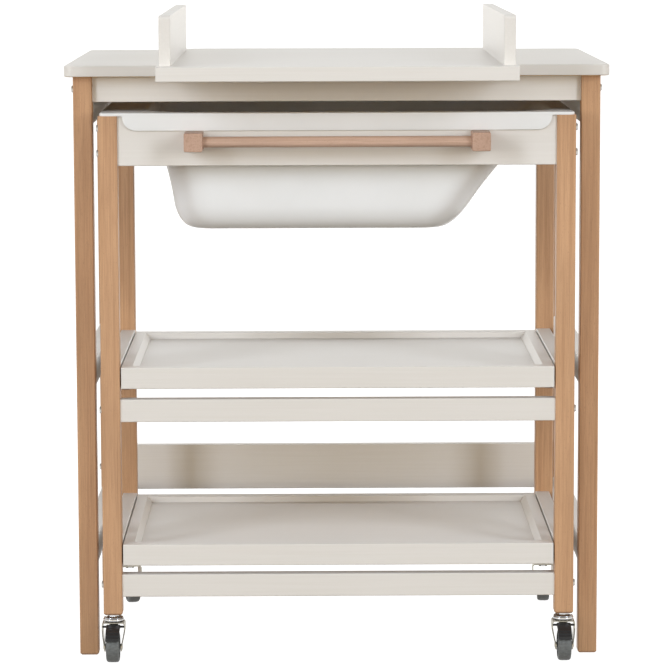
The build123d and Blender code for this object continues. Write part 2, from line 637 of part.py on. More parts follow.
for place, base in caster_bases.items():
    side_view = on(base, Plane.YZ)
    front_view = on(base, Plane.XZ)
    axle = Plane(origin=base.from_local_coords((0, -caster_trail, wheel_radius)), z_dir=base.x_dir)

    # Fork: pressed from sheet, with a flat crown, cheeks that run down to the axle, and the axle
    with BuildPart() as caster_fork:
        with BuildSketch(side_view) as cheek:
            with Locations((0, crown_top - fork_shoulder_height / 2)):
                Rectangle(fork_crown_length, fork_shoulder_height)
            with Locations((-caster_trail, wheel_radius)):
                Circle(fork_boss_radius)
            make_hull()
        extrude(cheek.sketch, amount=fork_shoulder_width, both=True)
        with BuildSketch(front_view) as bend:
            with BuildLine():
                Polyline(
                    (-fork_shoulder_width / 2, crown_top),
                    (fork_shoulder_width / 2, crown_top),
                    (fork_shoulder_width / 2, crown_top - fork_shoulder_height),
                    (axle_grip, wheel_radius),
                    (axle_grip, 0),
                    (-axle_grip, 0),
                    (-axle_grip, wheel_radius),
                    (-fork_shoulder_width / 2, crown_top - fork_shoulder_height),
                    close=True,
                )
            make_face()
            fillet(bend.vertices().group_by(Axis.Y)[-1], fork_shoulder_round)
        extrude(bend.sketch, amount=caster_trail + fork_crown_length, both=True, mode=Mode.INTERSECT)
        with BuildSketch(front_view) as inside:
            with BuildLine():
                Polyline(
                    (-fork_shoulder_width / 2 + fork_sheet, crown_bottom),
                    (fork_shoulder_width / 2 - fork_sheet, crown_bottom),
                    (fork_shoulder_width / 2 - fork_sheet, crown_top - fork_shoulder_height),
                    (fork_gap, wheel_radius),
                    (fork_gap, -cut_overrun),
                    (-fork_gap, -cut_overrun),
                    (-fork_gap, wheel_radius),
                    (-fork_shoulder_width / 2 + fork_sheet, crown_top - fork_shoulder_height),
                    close=True,
                )
            make_face()
            fillet(inside.vertices().group_by(Axis.Y)[-1], fork_shoulder_round - fork_sheet)
        extrude(inside.sketch, amount=caster_trail + fork_crown_length, both=True, mode=Mode.SUBTRACT)
        with Locations(base.offset(crown_bottom - cut_overrun)):
            Cylinder(kingpin_radius + running_clearance, fork_crown_thickness + 2 * cut_overrun,
                     align=FROM_BELOW, mode=Mode.SUBTRACT)
        with Locations(axle):
            Cylinder(axle_radius, 2 * axle_grip)
        for side in SIDES.values():
            with Locations(axle.offset(side * (axle_grip + axle_head_height / 2))):
                Cylinder(axle_head_radius, axle_head_height)
        if place.startswith("front"):
            hinge = Plane(
                origin=base.from_local_coords((0, -pedal_hub_forward, crown_bottom - pedal_hub_drop)),
                z_dir=base.x_dir)
            with Locations(hinge):
                Cylinder(pedal_pin_radius + running_clearance, 2 * fork_shoulder_width, mode=Mode.SUBTRACT)
    save(caster_fork, f"caster_fork_{place}")

    # Wheel: a rounded tread round a dished centre, turned as one piece
    with BuildPart() as caster_wheel:
        with BuildSketch(front_view.offset(caster_trail)) as wheel_section:
            with Locations((0, wheel_radius + (axle_radius + running_clearance + wheel_radius) / 2)):
                Rectangle(wheel_width, wheel_radius - axle_radius - running_clearance)
            fillet(wheel_section.vertices().group_by(Axis.Y)[-1], wheel_shoulder_radius)
            dish_height = wheel_rim_radius - wheel_hub_radius
            dish_middle = wheel_radius + (wheel_rim_radius + wheel_hub_radius) / 2
            for side in SIDES.values():
                with Locations((side * (wheel_width - wheel_dish_depth) / 2, dish_middle)):
                    Rectangle(wheel_dish_depth, dish_height, mode=Mode.SUBTRACT)
        revolve(wheel_section.sketch, axis=Axis(axle.origin, axle.z_dir))
    save(caster_wheel, f"caster_wheel_{place}")

    # Brake pedal of a front caster: a shoe that follows the wheel, on a pin between the cheeks
    if place.startswith("front"):
        shoe_inner = wheel_radius + pedal_gap
        shoe_outer = shoe_inner + pedal_thickness
        hub = Vector(-pedal_hub_forward, crown_bottom - pedal_hub_drop)
        centre = Vector(-caster_trail, wheel_radius)
        with BuildPart() as brake_pedal:
            with BuildSketch(side_view) as pedal_shape:
                with BuildLine():
                    inner = CenterArc(centre, shoe_inner, pedal_start_angle,
                                      pedal_end_angle - pedal_start_angle)
                    outer = CenterArc(centre, shoe_outer, pedal_start_angle,
                                      pedal_end_angle - pedal_start_angle)
                    Line(inner @ 0, outer @ 0)
                    Line(inner @ 1, outer @ 1)
                make_face()
                fillet(pedal_shape.vertices().sort_by(Axis.X)[:2], pedal_edge_round)
                with BuildSketch(mode=Mode.PRIVATE) as arm:
                    with Locations(hub):
                        Circle(pedal_hub_radius)
                    with BuildLine():
                        Line(inner @ 0, outer @ 0)
                    make_hull()
                add(arm.sketch)
            extrude(pedal_shape.sketch, amount=pedal_width / 2, both=True)
            with Locations(hinge):
                Cylinder(pedal_pin_radius, fork_shoulder_width - 2 * fork_sheet + 2 * pedal_pin_grip)
        save(brake_pedal, f"brake_pedal_{place}")
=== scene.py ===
import json

import bmesh
import bpy
import numpy as np
from mathutils import Matrix, Vector


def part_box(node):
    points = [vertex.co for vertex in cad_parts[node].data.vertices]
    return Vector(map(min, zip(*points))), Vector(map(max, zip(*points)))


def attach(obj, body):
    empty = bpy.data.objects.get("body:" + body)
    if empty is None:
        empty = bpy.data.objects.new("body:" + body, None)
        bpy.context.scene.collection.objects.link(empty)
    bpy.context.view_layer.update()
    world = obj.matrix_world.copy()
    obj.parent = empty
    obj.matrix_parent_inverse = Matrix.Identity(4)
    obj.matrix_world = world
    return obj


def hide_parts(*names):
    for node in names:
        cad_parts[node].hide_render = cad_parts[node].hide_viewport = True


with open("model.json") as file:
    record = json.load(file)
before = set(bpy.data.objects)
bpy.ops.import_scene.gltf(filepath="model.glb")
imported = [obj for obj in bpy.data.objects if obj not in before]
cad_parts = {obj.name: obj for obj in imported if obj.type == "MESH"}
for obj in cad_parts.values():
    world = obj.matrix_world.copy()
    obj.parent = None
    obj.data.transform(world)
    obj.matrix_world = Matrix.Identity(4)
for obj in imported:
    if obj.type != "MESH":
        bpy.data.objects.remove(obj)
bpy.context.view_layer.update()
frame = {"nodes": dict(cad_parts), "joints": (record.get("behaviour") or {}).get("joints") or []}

# Painted boards
# Planed boards and, for the wide panels, fibreboard, sprayed with an off-white satin lacquer through
# which the grain stands out faintly. The panels stay bare and brown below.
MM = 0.001
WHITE = (1, 1, 1, 1)
PAINT_COLOUR = (0.752, 0.722, 0.690, 1)
PAINT_SHADE = (0.728, 0.697, 0.660, 1)
PAINT_ROUGHNESS = (0.37, 0.48)
PAINT_CLOUD_SIZE = 350 * MM
PAINT_CLOUD_PLACES = (0.3, 0.7)
PAINT_GRAIN_WIDTH = 3.5 * MM
PAINT_GRAIN_LENGTH = 160 * MM
PAINT_GRAIN_PLACES = (0.35, 0.65)
PAINT_GRAIN_TINT = (0.975, 0.972, 0.965, 1)
PAINT_GRAIN_RELIEF = (0.12, 0.25 * MM)
PAINT_PEEL_SIZE = 1.1 * MM
PAINT_PEEL_RELIEF = (0.10, 0.06 * MM)
FIBREBOARD_COLOUR = (0.690, 0.400, 0.060, 1)
FIBREBOARD_SPECK = (0.550, 0.300, 0.040, 1)
FIBREBOARD_SPECK_SIZE = 2.2 * MM
FIBREBOARD_SPECK_PLACES = (0.35, 0.62)
FACING_FLOOR = -0.7


def start_material(name):
    """A new material and what its nodes are added with: its node tree, its shader and Object coordinates."""
    material = bpy.data.materials.new(name)
    material.use_nodes = True
    tree = material.node_tree
    shader = tree.nodes["Principled BSDF"]
    coordinates = tree.nodes.new("ShaderNodeTexCoord")
    return material, tree, shader, coordinates.outputs["Object"]


def along(axis, length, width):
    """Cell lengths along X, Y and Z: length along the grain's axis, width across it."""
    return [length if i == axis else width for i in range(3)]


def stretched_noise(tree, coordinates, cell, detail):
    """Noise whose cell is as long along X, Y and Z as the three lengths in cell."""
    mapping = tree.nodes.new("ShaderNodeMapping")
    mapping.inputs["Scale"].default_value = [1 / length for length in cell]
    noise = tree.nodes.new("ShaderNodeTexNoise")
    noise.inputs["Scale"].default_value = 1
    noise.inputs["Detail"].default_value = detail
    tree.links.new(coordinates, mapping.inputs["Vector"])
    tree.links.new(mapping.outputs["Vector"], noise.inputs["Vector"])
    return noise.outputs["Fac"]


def ramp(tree, value, places, colours):
    """Colours at places between 0 and 1, read off by value."""
    node = tree.nodes.new("ShaderNodeValToRGB")
    elements = node.color_ramp.elements
    while len(elements) < len(places):
        elements.new(0.5)
    for element, place, colour in zip(elements, places, colours):
        element.position = place
        element.color = colour
    tree.links.new(value, node.inputs["Fac"])
    return node.outputs["Color"]


def blend_colours(tree, share, first, second, mode="MIX"):
    """Mixes two colours or colour sockets by share, which is a number or a socket."""
    node = tree.nodes.new("ShaderNodeMix")
    node.data_type = "RGBA"
    node.blend_type = mode
    for name, value in (("Factor", share), ("A", first), ("B", second)):
        socket = next(s for s in node.inputs if s.name == name and s.type in ("VALUE", "RGBA") and s.enabled)
        if isinstance(value, bpy.types.NodeSocket):
            tree.links.new(value, socket)
        else:
            socket.default_value = value
    return next(s for s in node.outputs if s.type == "RGBA")


def vary_roughness(tree, shader, texture, low, high):
    """Lets the roughness go from low to high as a texture goes from 0 to 1."""
    node = tree.nodes.new("ShaderNodeMapRange")
    node.inputs["To Min"].default_value = low
    node.inputs["To Max"].default_value = high
    tree.links.new(texture, node.inputs["Value"])
    tree.links.new(node.outputs["Result"], shader.inputs["Roughness"])


def relief(tree, shader, layers):
    """Chains bump nodes, each with a height socket, a strength and a depth in metres."""
    normal = None
    for height, strength, depth in layers:
        bump = tree.nodes.new("ShaderNodeBump")
        bump.inputs["Strength"].default_value = strength
        bump.inputs["Distance"].default_value = depth
        tree.links.new(height, bump.inputs["Height"])
        if normal is not None:
            tree.links.new(normal, bump.inputs["Normal"])
        normal = bump.outputs["Normal"]
    tree.links.new(normal, shader.inputs["Normal"])


def facing_down(tree):
    """One where the normal's Z is under the limit for a face that looks at the floor, zero elsewhere."""
    facing = tree.nodes.new("ShaderNodeNewGeometry")
    split = tree.nodes.new("ShaderNodeSeparateXYZ")
    below = tree.nodes.new("ShaderNodeMath")
    below.operation = "LESS_THAN"
    below.inputs[1].default_value = FACING_FLOOR
    tree.links.new(facing.outputs["Normal"], split.inputs["Vector"])
    tree.links.new(split.outputs["Z"], below.inputs[0])
    return below.outputs[0]


def paint(name, grain, bare_below=False):
    """Off-white satin lacquer over wood whose grain runs along axis 0, 1 or 2.

    A panel that is bare below shows its brown fibreboard on the side that faces the floor."""
    material, tree, shader, place = start_material(name)
    cloud = stretched_noise(tree, place, (PAINT_CLOUD_SIZE,) * 3, detail=2)
    peel = stretched_noise(tree, place, (PAINT_PEEL_SIZE,) * 3, detail=1)
    fibre = stretched_noise(tree, place, along(grain, PAINT_GRAIN_LENGTH, PAINT_GRAIN_WIDTH), detail=4)
    tone = ramp(tree, cloud, PAINT_CLOUD_PLACES, (PAINT_SHADE, PAINT_COLOUR))
    streak = ramp(tree, fibre, PAINT_GRAIN_PLACES, (PAINT_GRAIN_TINT, WHITE))
    colour = blend_colours(tree, 1.0, tone, streak, "MULTIPLY")
    if bare_below:
        speck = stretched_noise(tree, place, (FIBREBOARD_SPECK_SIZE,) * 3, detail=4)
        brown = ramp(tree, speck, FIBREBOARD_SPECK_PLACES, (FIBREBOARD_SPECK, FIBREBOARD_COLOUR))
        colour = blend_colours(tree, facing_down(tree), colour, brown)
    tree.links.new(colour, shader.inputs["Base Color"])
    vary_roughness(tree, shader, fibre, *PAINT_ROUGHNESS)
    relief(tree, shader, [(fibre, *PAINT_GRAIN_RELIEF), (peel, *PAINT_PEEL_RELIEF)])
    return material


def wear(material, *names):
    """Gives a material to CAD nodes, in every slot that their meshes have."""
    for name in names:
        data = frame["nodes"][name].data
        if not data.materials:
            data.materials.append(material)
        for i in range(len(data.materials)):
            data.materials[i] = material


paint_across = paint("lacquer_grain_across", 0)
paint_deep = paint("lacquer_grain_deep", 1)
wear(paint("lacquered_fibreboard", 0, bare_below=True),
     "top_board", "tray_base", "upper_shelf_floor", "lower_shelf_floor")
wear(paint_across, "front_apron", "back_apron", "back_stretcher", "tray_front_rail",
     "trolley_front_rail", "trolley_back_rail", "upper_stretcher_front", "upper_stretcher_back",
     "lower_stretcher_front", "lower_stretcher_back", "upper_shelf_border", "lower_shelf_border")
for side in ("left", "right"):
    wear(paint_deep, f"side_apron_{side}", f"table_upper_rail_{side}", f"table_lower_rail_{side}",
         f"tray_side_{side}", f"tray_stop_{side}", f"trolley_top_rail_{side}",
         f"upper_shelf_rail_{side}", f"lower_shelf_rail_{side}")

# Beech legs and handle
# The eight legs are square beech with the grain upright. The handle is a turned beech bar let
# into two sawn blocks that show their end grain to the front. All of it has a thin clear lacquer.
BLACK = (0, 0, 0, 1)
BEECH_LIGHT = (0.572, 0.336, 0.184, 1)
BEECH_DARK = (0.474, 0.261, 0.134, 1)
BEECH_PALE = (0.590, 0.405, 0.310, 1)
BEECH_PALE_DARK = (0.500, 0.332, 0.245, 1)
BEECH_END = (0.495, 0.325, 0.245, 1)
BEECH_END_DARK = (0.420, 0.265, 0.190, 1)
BEECH_ROUGHNESS = (0.54, 0.42)
BEECH_RING_WIDTH = 5 * MM
BEECH_RING_LENGTH = 420 * MM
BEECH_RING_PLACES = (0.32, 0.50, 0.68)
BEECH_STICK_WIDTH = 60 * MM
BEECH_STICK_LENGTH = 240 * MM
BEECH_STICK_PLACES = (0.35, 0.65)
BEECH_STICK_TINTS = ((0.90, 0.88, 0.86, 1), (1.06, 1.05, 1.04, 1))
BEECH_FIBRE_WIDTH = 0.9 * MM
BEECH_FIBRE_LENGTH = 38 * MM
BEECH_FIBRE_PLACES = (0.34, 0.55)
BEECH_FIBRE_TINT = (0.84, 0.80, 0.77, 1)
BEECH_FIBRE_SHARE = 0.75
BEECH_FIBRE_RELIEF = (0.18, 0.15 * MM)
BEECH_FLECK = (0.250, 0.130, 0.070, 1)
BEECH_FLECK_WIDTH = 0.55 * MM
BEECH_FLECK_LENGTH = 4.5 * MM
BEECH_FLECK_PLACES = (0.66, 0.74)
BEECH_FLECK_SHARE = (0.45, 0.45, 0.45, 1)
BEECH_FLECK_RELIEF = (0.10, 0.08 * MM)


def beech(name, grain, light=BEECH_LIGHT, dark=BEECH_DARK):
    """Lacquered beech with its grain along axis 0, 1 or 2.

    Growth rings, a slow change along the stick, fine fibres and short dark flecks lie over each other."""
    material, tree, shader, place = start_material(name)
    rings = stretched_noise(tree, place, along(grain, BEECH_RING_LENGTH, BEECH_RING_WIDTH), detail=3)
    fibre = stretched_noise(tree, place, along(grain, BEECH_FIBRE_LENGTH, BEECH_FIBRE_WIDTH), detail=4)
    fleck = stretched_noise(tree, place, along(grain, BEECH_FLECK_LENGTH, BEECH_FLECK_WIDTH), detail=1)
    stick = stretched_noise(tree, place, along(grain, BEECH_STICK_LENGTH, BEECH_STICK_WIDTH), detail=1)
    base = ramp(tree, rings, BEECH_RING_PLACES, (dark, light, dark))
    warm = ramp(tree, stick, BEECH_STICK_PLACES, BEECH_STICK_TINTS)
    lines = ramp(tree, fibre, BEECH_FIBRE_PLACES, (BEECH_FIBRE_TINT, WHITE))
    ticks = ramp(tree, fleck, BEECH_FLECK_PLACES, (BLACK, BEECH_FLECK_SHARE))
    toned = blend_colours(tree, 1.0, base, warm, "MULTIPLY")
    lined = blend_colours(tree, BEECH_FIBRE_SHARE, toned, lines, "MULTIPLY")
    flecked = blend_colours(tree, ticks, lined, BEECH_FLECK)
    tree.links.new(flecked, shader.inputs["Base Color"])
    vary_roughness(tree, shader, fibre, *BEECH_ROUGHNESS)
    relief(tree, shader, [(fibre, *BEECH_FIBRE_RELIEF), (fleck, *BEECH_FLECK_RELIEF)])
    return material


beech_upright = beech("beech_upright", 2)
beech_across = beech("beech_handle_bar", 0, BEECH_PALE, BEECH_PALE_DARK)
beech_deep = beech("beech_end_grain", 1, BEECH_END, BEECH_END_DARK)
for end in ("front", "back"):
    for side in ("left", "right"):
        wear(beech_upright, f"table_leg_{end}_{side}", f"trolley_leg_{end}_{side}")
wear(beech_across, "handle_bar")
wear(beech_deep, "handle_block_left", "handle_block_right", "shelf_runners")

# Bolts and barrel nuts
# Zinc plated steel: domed heads with a key socket on the legs' outer faces, whose threads run into
# barrel nuts in the cross boards.
ZINC_COLOUR = (0.58, 0.57, 0.55, 1)
ZINC_SHADE = 0.8
ZINC_ROUGHNESS = (0.28, 0.42)
ZINC_PATCH_SIZE = 2 * MM
PATCH_PLACES = (0.3, 0.7)


def patchy_colour(tree, shader, texture, colour, shade):
    """A colour that falls to shade times itself in the patches where a texture is low."""
    darker = [shade * part for part in colour[:3]] + [1]
    tree.links.new(ramp(tree, texture, PATCH_PLACES, (darker, colour)), shader.inputs["Base Color"])


def zinc():
    """Zinc plated steel with faint cloudy patches."""
    material, tree, shader, place = start_material("zinc_plate")
    patch = stretched_noise(tree, place, (ZINC_PATCH_SIZE,) * 3, detail=2)
    patchy_colour(tree, shader, patch, ZINC_COLOUR, ZINC_SHADE)
    vary_roughness(tree, shader, patch, *ZINC_ROUGHNESS)
    shader.inputs["Metallic"].default_value = 1
    return material


wear(zinc(), "table_fittings", "trolley_fittings")

# Bathtub
# One moulding of glossy white plastic. Its flange lies on the trolley's legs and rails, its left
# end is steep, its right end slopes as a backrest, and a skirt covers the front rail's top.
TUB_COLOUR = (0.862, 0.872, 0.880, 1)
TUB_ROUGHNESS = (0.20, 0.30)
TUB_TRANSLUCENCE = 0.12
PLUG_COLOUR = (0.70, 0.72, 0.74, 1)
PLUG_ROUGHNESS = (0.46, 0.56)
PLASTIC_SHADE = 0.965
PLASTIC_FLOW_SIZE = 90 * MM
PLASTIC_PIT_SIZE = 0.7 * MM
PLASTIC_PIT_RELIEF = (0.05, 0.03 * MM)
PLASTIC_DEPTH = 4 * MM
tub_low, tub_high = (np.array(corner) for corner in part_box("bathtub"))
tub_top = tub_high[2]
FLANGE_THICKNESS = 4.5 * MM
FLANGE_CORNER = 12 * MM
FLANGE_UPPER_EDGE = 1.6 * MM
FLANGE_LOWER_EDGE = 0.48 * MM
FLANGE_EDGE_STEPS = 6
flange_bottom = tub_top - FLANGE_THICKNESS
MOUTH_ROUND = 4 * MM
MOUTH_STEPS = 8
TUB_WALL = 3 * MM
TUB_MOUTH = (-300 * MM, 337 * MM)
TUB_FLOOR = (-256 * MM, 193 * MM)
TUB_FLARE = (1.7, 1.3)
TUB_SETBACK = 29.5 * MM
TUB_FRONT_BACK = (tub_low[1] + TUB_SETBACK, tub_high[1] - TUB_SETBACK)
TUB_SIDE_SLOPE = 26 * MM
TUB_CORNERS = (70 * MM, 62 * MM)
TUB_SMALLEST_CORNER = 4 * MM
TUB_CORNER_STEPS = 11
TUB_SIDE_STEPS = 13
TUB_FOOT_ROUND = 40 * MM
TUB_FOOT_SHARE = 0.72
TUB_FOOT_STEPS = 13
TUB_FLOOR_STEPS = 9
TUB_WALL_STEPS = 14
DRAIN_CENTRE = np.array([-190 * MM, (tub_low[1] + tub_high[1]) / 2])
DRAIN_RADIUS = 15.1 * MM
SKIRT_DROP = 23 * MM
SKIRT_HALF_WIDTH = 335 * MM
SKIRT_THICKNESS = 3 * MM
SKIRT_CORNER = 22 * MM
SKIRT_RUN_OUT = 5 * MM
SKIRT_ROOT = 1 * MM
SKIRT_EDGE = 0.8 * MM
SKIRT_THINNEST_EDGE = 0.02 * MM
SKIRT_CHAMFER_SHARE = 0.3
SKIRT_CORNER_STEPS = 15
SKIRT_FLAT_STEPS = 31
WELD_DISTANCE = 0.002 * MM
TUB_SMOOTH_ANGLE = 35


def rounded_outline(left, right, front, back, radius):
    """Points round a rectangle with round corners, the same number for every rectangle.

    Corner k turns through (t + k) quarter turns about a centre one radius inside it,
    p = centre + radius (cos a, sin a), and straight sides join the corners."""
    t = np.linspace(0, 1, TUB_CORNER_STEPS)
    corners = [(right, back), (left, back), (left, front), (right, front)]
    inward = [(-1, -1), (1, -1), (1, 1), (-1, 1)]
    arcs = []
    for k, ((x, y), (ix, iy)) in enumerate(zip(corners, inward)):
        a = (t + k) * np.pi / 2
        centre = np.array([x + ix * radius, y + iy * radius])
        arcs.append(centre + radius * np.stack([np.cos(a), np.sin(a)], 1))
    rows = []
    for k in range(4):
        start, end = arcs[k][-1], arcs[(k + 1) % 4][0]
        side = start + np.linspace(0, 1, TUB_SIDE_STEPS)[1:-1, None] * (end - start)
        rows += [arcs[k], side]
    return np.concatenate(rows)


def tub_outline(z, inset):
    """The body's outline at a height, drawn in by inset.

    The long walls slope evenly from mouth to floor, and each end flares towards the mouth:
    x = mouth + (floor - mouth) (1 - (1 - share) ** flare)."""
    share = (flange_bottom - z) / (flange_bottom - tub_low[2])
    ends = [mouth + (floor - mouth) * (1 - max(1 - share, 0) ** flare)
            for mouth, floor, flare in zip(TUB_MOUTH, TUB_FLOOR, TUB_FLARE)]
    left, right = ends[0] + inset, ends[1] - inset
    front = TUB_FRONT_BACK[0] + TUB_SIDE_SLOPE * share + inset
    back = TUB_FRONT_BACK[1] - TUB_SIDE_SLOPE * share - inset
    radius = TUB_CORNERS[0] + (TUB_CORNERS[1] - TUB_CORNERS[0]) * share - inset
    return rounded_outline(left, right, front, back, max(radius, TUB_SMALLEST_CORNER))


def ring(outline, z):
    """An outline in the plane, lifted to a height."""
    return np.column_stack([outline, np.full(len(outline), z)])


def tub_skin(floor_z, top_z, inset, foot_round):
    """One skin of the body as rows of points, from the drain's edge out over the floor and up.

    On the floor the row is p = (1 - s) foot + s circle. In the foot the wall is drawn in by
    share round (1 - cos a) while it sinks by round sin a."""
    foot_rows = []
    for a in np.linspace(np.pi / 2, 0, TUB_FOOT_STEPS):
        drawn_in = inset + TUB_FOOT_SHARE * foot_round * (1 - np.cos(a))
        z = floor_z + foot_round * (1 - np.sin(a))
        foot_rows.append(ring(tub_outline(z, drawn_in), z))
    foot = foot_rows[0][:, :2]
    a = np.arctan2(foot[:, 1] - DRAIN_CENTRE[1], foot[:, 0] - DRAIN_CENTRE[0])
    circle = DRAIN_CENTRE + DRAIN_RADIUS * np.stack([np.cos(a), np.sin(a)], 1)
    floor_rows = [ring((1 - s) * foot + s * circle, floor_z)
                  for s in np.linspace(1, 0, TUB_FLOOR_STEPS)[:-1]]
    wall_rows = [ring(tub_outline(z, inset), z)
                 for z in np.linspace(floor_z + foot_round, top_z, TUB_WALL_STEPS)[1:]]
    return floor_rows + foot_rows + wall_rows


def mouth_lip():
    """Rows of the quarter round from the inner wall up and over to the flange's top.

    A row lies round (1 - sin a) under the top, and round (1 - cos a) outside the inner wall."""
    rows = []
    for a in np.linspace(0, np.pi / 2, MOUTH_STEPS)[1:]:
        z = tub_top - MOUTH_ROUND * (1 - np.sin(a))
        rows.append(ring(tub_outline(z, TUB_WALL - MOUTH_ROUND * (1 - np.cos(a))), z))
    return rows


def flange_edge():
    """Rows round the flange's outer edge, from its top face to its bottom face.

    Each edge is a quarter round: a row lies round (1 - cos a) from the face and round (1 - sin a)
    inside the flange's outline."""
    upper = [(a, FLANGE_UPPER_EDGE, tub_top, -1) for a in np.linspace(0, np.pi / 2, FLANGE_EDGE_STEPS)]
    lower = [(a, FLANGE_LOWER_EDGE, flange_bottom, 1) for a in np.linspace(np.pi / 2, 0, FLANGE_EDGE_STEPS)]
    rows = []
    for a, edge, face, way in upper + lower[1:]:
        inset = edge * (1 - np.sin(a))
        outline = rounded_outline(tub_low[0] + inset, tub_high[0] - inset, tub_low[1] + inset,
                                  tub_high[1] - inset, FLANGE_CORNER - inset)
        rows.append(ring(outline, face + way * edge * (1 - np.cos(a))))
    return rows


def closed_ends(rows):
    """Closes a tube of rows with one more row at each end, shrunk to the middle of its neighbour."""
    ends = [np.broadcast_to(rows[k].mean(0), rows[k].shape)[None] for k in (0, -1)]
    return np.concatenate([ends[0], rows, ends[1]])


def tub_skirt():
    """The skirt under the flange's front edge: a section, rounded below, carried along x.

    Its drop d over x is flat in the middle. A lower corner turns up by x = half - corner (1 - sin a),
    d = drop - corner (1 - cos a), and then runs out sideways into the flange by
    x = half + run (1 - cos a), d = (drop - corner) (1 - sin a)."""
    a = np.linspace(0, np.pi / 2, SKIRT_CORNER_STEPS)
    right_x = np.concatenate([
        SKIRT_HALF_WIDTH - SKIRT_CORNER * (1 - np.sin(a)),
        SKIRT_HALF_WIDTH + SKIRT_RUN_OUT * (1 - np.cos(a[1:]))])
    right_drop = np.concatenate([
        SKIRT_DROP - SKIRT_CORNER * (1 - np.cos(a)),
        (SKIRT_DROP - SKIRT_CORNER) * (1 - np.sin(a[1:]))])
    flat_x = np.linspace(-1, 1, SKIRT_FLAT_STEPS)[1:-1] * right_x[0]
    x = np.concatenate([-right_x[::-1], flat_x, right_x])
    drop = np.concatenate([right_drop[::-1], np.full(len(flat_x), SKIRT_DROP), right_drop])
    root = flange_bottom + SKIRT_ROOT
    foot = flange_bottom - drop
    front, back = tub_low[1], tub_low[1] + SKIRT_THICKNESS
    edge = np.minimum(SKIRT_EDGE, drop / 2 + SKIRT_THINNEST_EDGE)
    chamfer = SKIRT_CHAMFER_SHARE * edge
    section = [(front, root), (front, foot + edge), (front + chamfer, foot + chamfer),
               (front + edge, foot), (back, foot), (back, root)]
    columns = [np.stack([x, np.broadcast_to(y, x.shape), np.broadcast_to(z, x.shape)], -1)
               for y, z in section]
    return closed_ends(np.stack(columns, 1))


def surface(name, rows, closed=False):
    """A mesh of quads on a grid of points, whose rows close round.

    The last row is joined to the first one where the surface is closed."""
    grid = np.asarray(rows, float)
    high, wide = grid.shape[:2]
    i, j = np.meshgrid(np.arange(high if closed else high - 1), np.arange(wide), indexing="ij")
    after_i, after_j = (i + 1) % high, (j + 1) % wide
    quads = np.stack([i * wide + j, i * wide + after_j, after_i * wide + after_j, after_i * wide + j], -1)
    mesh = bpy.data.meshes.new(name)
    mesh.from_pydata(grid.reshape(-1, 3).tolist(), [], quads.reshape(-1, 4).tolist())
    mesh.update()
    return mesh


def closed_piece(name, meshes, material, body, smooth_angle, replaced):
    """Joins meshes into one piece: doubles merged, normals outwards, smooth up to an angle in degrees."""
    joined = bmesh.new()
    for mesh in meshes:
        part = bmesh.new()
        part.from_mesh(mesh)
        bmesh.ops.remove_doubles(part, verts=part.verts, dist=WELD_DISTANCE)
        bmesh.ops.recalc_face_normals(part, faces=part.faces)
        part.to_mesh(mesh)
        part.free()
        joined.from_mesh(mesh)
    data = bpy.data.meshes.new(name)
    joined.to_mesh(data)
    joined.free()
    data.shade_smooth()
    data.set_sharp_from_angle(angle=np.radians(smooth_angle))
    data.materials.append(material)
    piece = bpy.data.objects.new(name, data)
    bpy.context.scene.collection.objects.link(piece)
    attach(piece, body)
    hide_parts(replaced)


def moulded_plastic(name, colour, roughness, translucence=0.0):
    """Smooth moulded plastic: a faint flow in its colour and gloss, small pits, and light let in a little."""
    material, tree, shader, place = start_material(name)
    flow = stretched_noise(tree, place, (PLASTIC_FLOW_SIZE,) * 3, detail=3)
    pit = stretched_noise(tree, place, (PLASTIC_PIT_SIZE,) * 3, detail=1)
    patchy_colour(tree, shader, flow, colour, PLASTIC_SHADE)
    vary_roughness(tree, shader, flow, *roughness)
    shader.inputs["Subsurface Weight"].default_value = translucence
    shader.inputs["Subsurface Radius"].default_value = (PLASTIC_DEPTH,) * 3
    relief(tree, shader, [(pit, *PLASTIC_PIT_RELIEF)])
    return material


inner_skin = tub_skin(tub_low[2] + TUB_WALL, tub_top - MOUTH_ROUND, TUB_WALL, TUB_FOOT_ROUND - TUB_WALL)
outer_skin = tub_skin(tub_low[2], flange_bottom, 0, TUB_FOOT_ROUND)
tub_rows = inner_skin + mouth_lip() + flange_edge() + outer_skin[::-1]
closed_piece(
    "bathtub_moulding", [surface("tub_body", tub_rows, closed=True), surface("tub_skirt", tub_skirt())],
    moulded_plastic("tub_plastic", TUB_COLOUR, TUB_ROUGHNESS, TUB_TRANSLUCENCE),
    "bathtub", TUB_SMOOTH_ANGLE, "bathtub")
wear(moulded_plastic("plug_rubber", PLUG_COLOUR, PLUG_ROUGHNESS), "drain_plug")

# Caster stems
# Chromed steel: a pin in the leg, a hexagon nut against the leg's end, a turned head over the
# ball race, and the kingpin with its riveted end inside the fork.
CHROME_COLOUR = (0.62, 0.62, 0.63, 1)
CHROME_ROUGHNESS = (0.10, 0.22)
STEEL_SHADE = 0.82
STEEL_PATCH_SIZE = 5 * MM
STEEL_SCRATCH_CELL = (9 * MM, 9 * MM, 0.35 * MM)
STEEL_SCRATCH_RELIEF = (0.05, 0.02 * MM)
# Radius and height in millimetres, from under the fork's crown up
HEAD_PROFILE = [
    (0, 55.9), (7.4, 55.9), (7.4, 58.0), (5.0, 58.3), (5.0, 61.6), (12.6, 61.6), (15.2, 62.3), (16.3, 63.6),
    (16.5, 65.0), (16.2, 66.0), (15.6, 66.5), (15.3, 67.0), (15.5, 67.5), (15.0, 68.4), (13.2, 69.3),
    (9.5, 69.9), (0, 70.0)]
HEAD_SEGMENTS = 64
NUT_RADIUS = 9 * MM
NUT_BOTTOM, NUT_TOP = 70 * MM, 73 * MM
NUT_SIDES = 6
PIN_RADIUS = 4 * MM
PIN_TOP = 111 * MM
PIN_SEGMENTS = 24
UPRIGHT = (0, 0, 1)
HEAD_SMOOTH_ANGLE = 30


